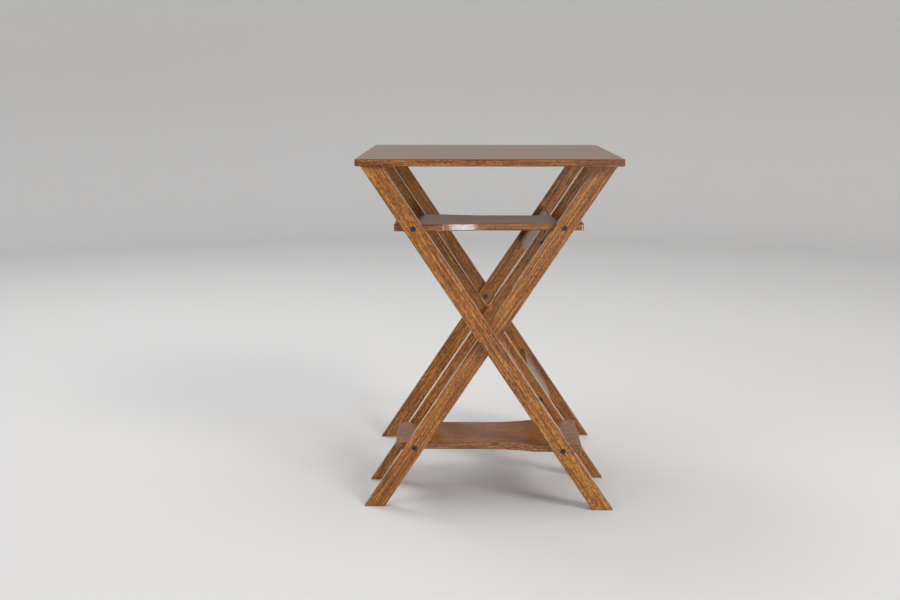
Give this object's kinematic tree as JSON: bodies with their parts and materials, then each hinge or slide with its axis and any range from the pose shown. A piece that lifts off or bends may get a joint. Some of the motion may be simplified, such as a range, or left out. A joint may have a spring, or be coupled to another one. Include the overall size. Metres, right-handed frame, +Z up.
{
  "type": "folding tray table",
  "caption": "Folding wooden tray table with crossed legs, a rectangular lift-off top and two shelves between the front and middle legs.",
  "frame": {"origin": "on the floor, under the middle of the table top", "axes": "+Z up, +X to the right as seen from the front, +Y to the rear"},
  "size_m": [0.56, 0.642, 0.75],
  "materials": {
    "stained_wood": "semi-gloss orange-brown stain over fine grain",
    "shelf_wood": "semi-gloss orange-brown stain over fine grain",
    "top_wood": "semi-gloss brown stain with a soft grey sheen",
    "black_steel": "black oxide",
    "zinc": "zinc plated",
    "nylon": "natural nylon"
  },
  "bodies": {
    "outer_frame": {"outer_leg_front": "stained_wood", "outer_leg_middle": "stained_wood", "outer_leg_rear": "stained_wood", "outer_stretcher": "stained_wood", "outer_stretcher_middle_bolt": "black_steel", "outer_stretcher_middle_insert": "zinc", "outer_stretcher_rear_bolt": "black_steel", "outer_stretcher_rear_insert": "zinc", "pivot_front_bolt": "black_steel", "pivot_rear_bolt": "black_steel", "pivot_front_insert": "zinc", "pivot_rear_insert": "zinc", "pivot_front_washer": "nylon", "pivot_middle_washer": "nylon", "pivot_rear_washer": "nylon"},
    "inner_frame": {"inner_leg_front": "stained_wood", "inner_leg_middle": "stained_wood", "inner_leg_rear": "stained_wood", "inner_stretcher": "stained_wood", "inner_stretcher_middle_bolt": "black_steel", "inner_stretcher_middle_insert": "zinc", "inner_stretcher_rear_bolt": "black_steel", "inner_stretcher_rear_insert": "zinc", "pivot_middle_bolt": "black_steel", "pivot_middle_insert": "zinc", "upper_shelf_inner_front_bolt": "black_steel", "upper_shelf_inner_middle_bolt": "black_steel", "lower_shelf_inner_front_bolt": "black_steel", "lower_shelf_inner_middle_bolt": "black_steel"},
    "upper_shelf_unit": {"upper_shelf": "shelf_wood", "upper_shelf_outer_front_bolt": "black_steel", "upper_shelf_outer_middle_bolt": "black_steel", "upper_shelf_outer_front_insert": "zinc", "upper_shelf_outer_middle_insert": "zinc", "upper_shelf_inner_front_insert": "zinc", "upper_shelf_inner_middle_insert": "zinc"},
    "lower_shelf_unit": {"lower_shelf": "shelf_wood", "lower_shelf_outer_front_bolt": "black_steel", "lower_shelf_outer_middle_bolt": "black_steel", "lower_shelf_outer_front_insert": "zinc", "lower_shelf_outer_middle_insert": "zinc", "lower_shelf_inner_front_insert": "zinc", "lower_shelf_inner_middle_insert": "zinc"},
    "top_unit": {"table_top": "top_wood", "top_batten_left": "stained_wood", "top_batten_right": "stained_wood", "batten_left_front_screw": "zinc", "batten_left_rear_screw": "zinc", "batten_right_front_screw": "zinc", "batten_right_rear_screw": "zinc"}
  },
  "joints": [
    {"name": "leg_fold", "type": "hinge", "parent": "outer_frame", "child": "inner_frame", "pos_m": [0, 0, 0.36735], "axis": [0, -1, 0], "range_deg": [0, 52]},
    {"name": "upper_shelf_swing", "type": "hinge", "parent": "outer_frame", "child": "upper_shelf_unit", "pos_m": [-0.15862, -0.1864, 0.60485], "axis": [0, 1, 0], "range_deg": [0, 54]},
    {"name": "lower_shelf_swing", "type": "hinge", "parent": "outer_frame", "child": "lower_shelf_unit", "pos_m": [0.15862, -0.1864, 0.12985], "axis": [0, 1, 0], "range_deg": [0, 54]},
    {"name": "top_lift", "type": "slide", "parent": "outer_frame", "child": "top_unit", "axis": [0, 0, 1], "range_m": [0, 0.3]}
  ],
  "couplings": [
    {"joint": "upper_shelf_swing", "follows": "leg_fold", "ratio": 1.03},
    {"joint": "lower_shelf_swing", "follows": "leg_fold", "ratio": 1.03},
    {"joint": "top_lift", "follows": "leg_fold", "m_per_rad": 0.32}
  ]
}
